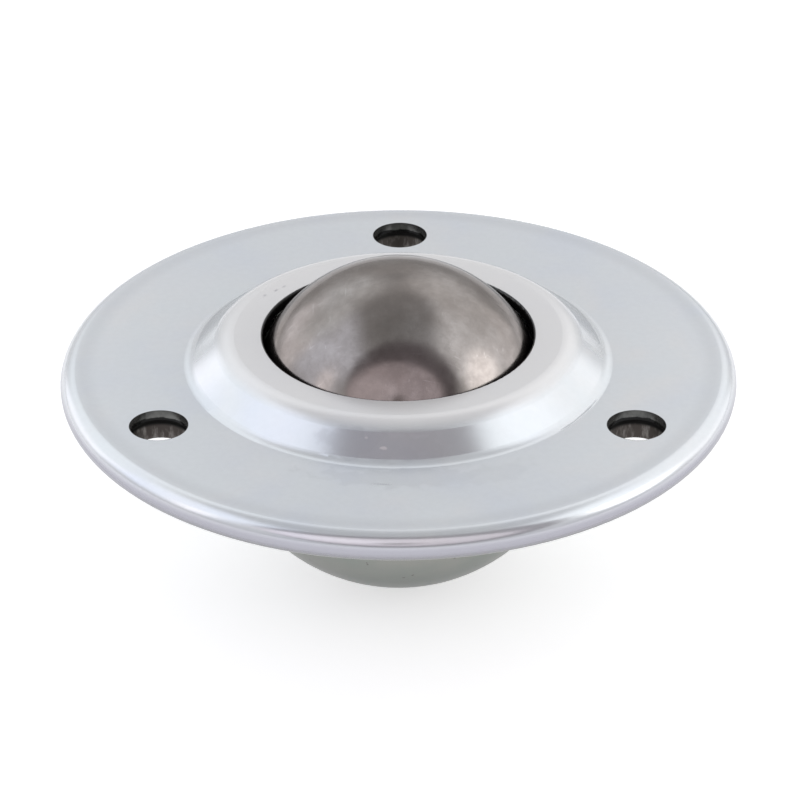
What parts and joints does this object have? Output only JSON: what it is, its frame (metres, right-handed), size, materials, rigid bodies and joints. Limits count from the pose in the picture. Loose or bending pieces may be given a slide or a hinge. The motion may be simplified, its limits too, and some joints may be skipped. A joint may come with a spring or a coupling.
{
  "type": "ball castor",
  "caption": "Flange-mounted ball castor: a steel load ball rolls any way on a bed of small balls in a pressed steel cup under a round cover with screw holes.",
  "frame": {"origin": "centre of the fixing-hole circle on the flange's top face", "axes": "+Z out of the flange towards the load ball, +Y through one fixing hole"},
  "size_m": [0.057, 0.057, 0.0284],
  "materials": {
    "zinc_cover": "bright zinc plate on smooth pressed sheet, satin, faint blue and straw tints",
    "zinc_cup": "zinc plate on drawn sheet, satin, greenish grey with small specks",
    "load_ball_steel": "hardened ball steel, satin, warm grey with fine marks",
    "bearing_steel": "polished bearing balls"
  },
  "bodies": {
    "housing": {"cover": "zinc_cover", "cup": "zinc_cup"},
    "top_ring": {"top_ring": "bearing_steel"},
    "load_ball": {"load_ball": "load_ball_steel"},
    "bearing_bed": {"bearing_ball_pole": "bearing_steel", "bearing_ball_r1_01": "bearing_steel", "bearing_ball_r1_02": "bearing_steel", "bearing_ball_r1_03": "bearing_steel", "bearing_ball_r1_04": "bearing_steel", "bearing_ball_r1_05": "bearing_steel", "bearing_ball_r1_06": "bearing_steel", "bearing_ball_r2_01": "bearing_steel", "bearing_ball_r2_02": "bearing_steel", "bearing_ball_r2_03": "bearing_steel", "bearing_ball_r2_04": "bearing_steel", "bearing_ball_r2_05": "bearing_steel", "bearing_ball_r2_06": "bearing_steel", "bearing_ball_r2_07": "bearing_steel", "bearing_ball_r2_08": "bearing_steel", "bearing_ball_r2_09": "bearing_steel", "bearing_ball_r2_10": "bearing_steel", "bearing_ball_r2_11": "bearing_steel", "bearing_ball_r2_12": "bearing_steel", "bearing_ball_r3_01": "bearing_steel", "bearing_ball_r3_02": "bearing_steel", "bearing_ball_r3_03": "bearing_steel", "bearing_ball_r3_04": "bearing_steel", "bearing_ball_r3_05": "bearing_steel", "bearing_ball_r3_06": "bearing_steel", "bearing_ball_r3_07": "bearing_steel", "bearing_ball_r3_08": "bearing_steel", "bearing_ball_r3_09": "bearing_steel", "bearing_ball_r3_10": "bearing_steel", "bearing_ball_r3_11": "bearing_steel", "bearing_ball_r3_12": "bearing_steel", "bearing_ball_r3_13": "bearing_steel", "bearing_ball_r3_14": "bearing_steel", "bearing_ball_r3_15": "bearing_steel", "bearing_ball_r3_16": "bearing_steel", "bearing_ball_r3_17": "bearing_steel", "bearing_ball_r3_18": "bearing_steel", "bearing_ball_r3_19": "bearing_steel", "bearing_ring_r10": "bearing_steel", "bearing_ring_r4": "bearing_steel", "bearing_ring_r5": "bearing_steel", "bearing_ring_r6": "bearing_steel", "bearing_ring_r7": "bearing_steel", "bearing_ring_r8": "bearing_steel", "bearing_ring_r9": "bearing_steel"}
  },
  "joints": [
    {"name": "ball_turn", "type": "hinge", "parent": "housing", "child": "top_ring", "pos_m": [0, 0, -0.00455], "axis": [0, 0, 1], "continuous": true},
    {"name": "ball_roll", "type": "hinge", "parent": "top_ring", "child": "load_ball", "pos_m": [0, 0, -0.00455], "axis": [1, 0, 0], "continuous": true},
    {"name": "bed_turn", "type": "hinge", "parent": "housing", "child": "bearing_bed", "pos_m": [0, 0, -0.00455], "axis": [0, 0, 1], "continuous": true}
  ],
  "couplings": [
    {"joint": "bed_turn", "follows": "ball_turn", "ratio": 0.4635}
  ]
}
